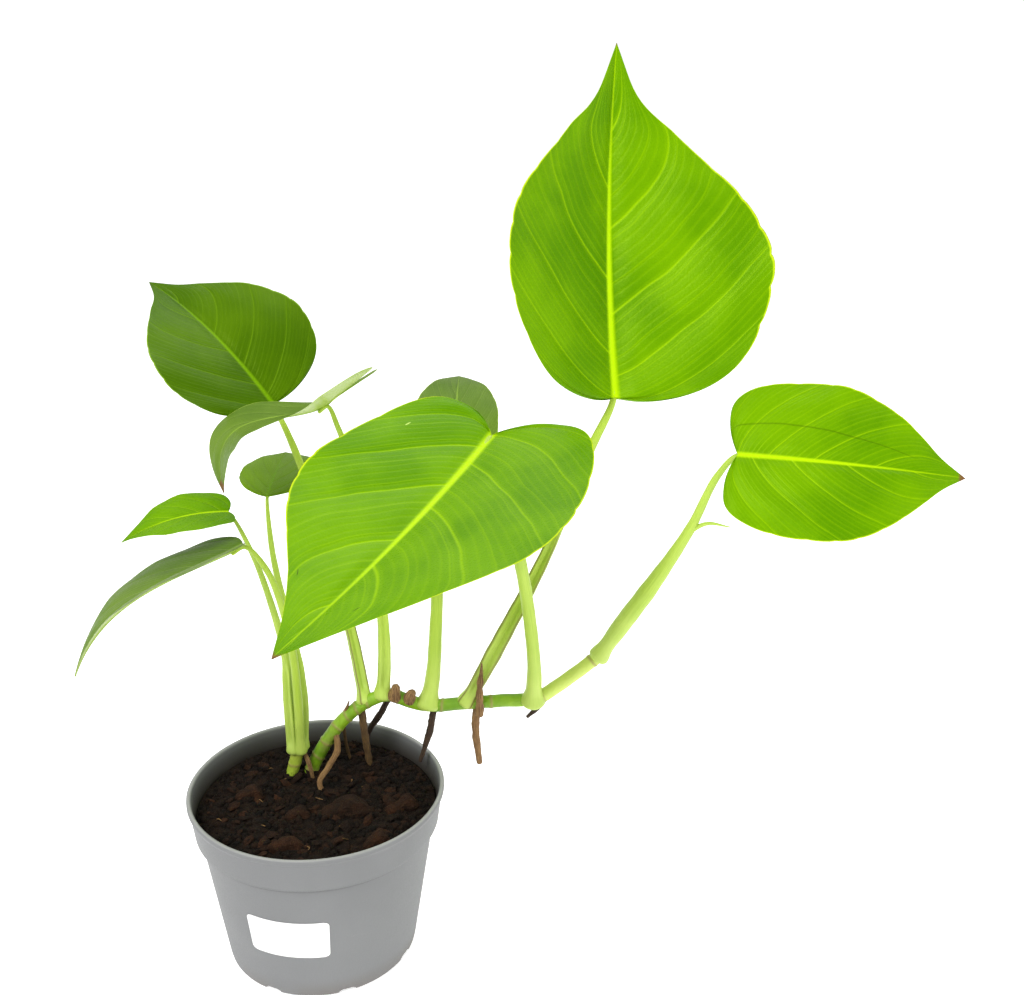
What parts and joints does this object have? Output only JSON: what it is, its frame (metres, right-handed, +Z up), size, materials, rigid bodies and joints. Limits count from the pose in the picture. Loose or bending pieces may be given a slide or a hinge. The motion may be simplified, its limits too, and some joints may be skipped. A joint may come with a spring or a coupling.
{
  "type": "potted monstera",
  "caption": "Young climbing foliage plant with heart-shaped leaves on long stalks and one arching stem with aerial roots, in a round tapered nursery pot.",
  "frame": {"origin": "centre of the pot's flat underside, on the surface it stands on", "axes": "+Z up along the pot's axis; +X towards the side that the main stem and its outermost leaf lean to; +Y away from the viewer"},
  "size_m": [0.3823, 0.2421, 0.4165],
  "materials": {
    "pot_plastic": "mid-grey moulded plastic, satin, slightly scuffed",
    "label_paper": "white matt adhesive paper label, blank",
    "stem": null,
    "petiole": null,
    "leaf_bright": null,
    "leaf_dark": null,
    "leaf_dull": null,
    "aerial_root": "brown fibrous aerial root, matt",
    "dry_tissue": "papery dry brown remains, matt",
    "bark": "reddish-brown bark chip, matt",
    "soil": null
  },
  "bodies": {
    "root": {"pot": "pot_plastic", "label": "label_paper", "main_stem": "stem", "side_shoot": "stem", "leaf_upper": "leaf_bright", "leaf_front": "leaf_bright", "leaf_right": "leaf_bright", "leaf_rear_left": "leaf_dark", "leaf_edge_on": "leaf_dull", "leaf_shaded_rear": "leaf_dull", "leaf_small_rear": "leaf_dark", "leaf_small_left": "leaf_bright", "leaf_low_left": "leaf_dull", "petiole_upper": "petiole", "petiole_front": "petiole", "petiole_right": "petiole", "petiole_rear_left": "petiole", "petiole_edge_on": "petiole", "petiole_shaded_rear": "petiole", "petiole_small_rear": "petiole", "petiole_small_left": "petiole", "petiole_low_left": "petiole", "sheath_tip": "petiole", "root_tan_ringed": "aerial_root", "root_fine": "aerial_root", "root_thick": "aerial_root", "root_dark_rear": "aerial_root", "root_over_rim": "aerial_root", "root_hanging": "aerial_root", "root_short": "aerial_root", "root_of_shoot": "aerial_root", "cut_stub_left": "dry_tissue", "cut_stub_right": "dry_tissue", "dry_bract": "dry_tissue", "dry_spike": "dry_tissue", "bark_chip_1": "bark", "bark_chip_2": "bark", "bark_chip_3": "bark", "bark_chip_4": "bark", "bark_chip_5": "bark", "bark_chip_6": "bark", "potting_soil": "soil"}
  },
  "joints": []
}
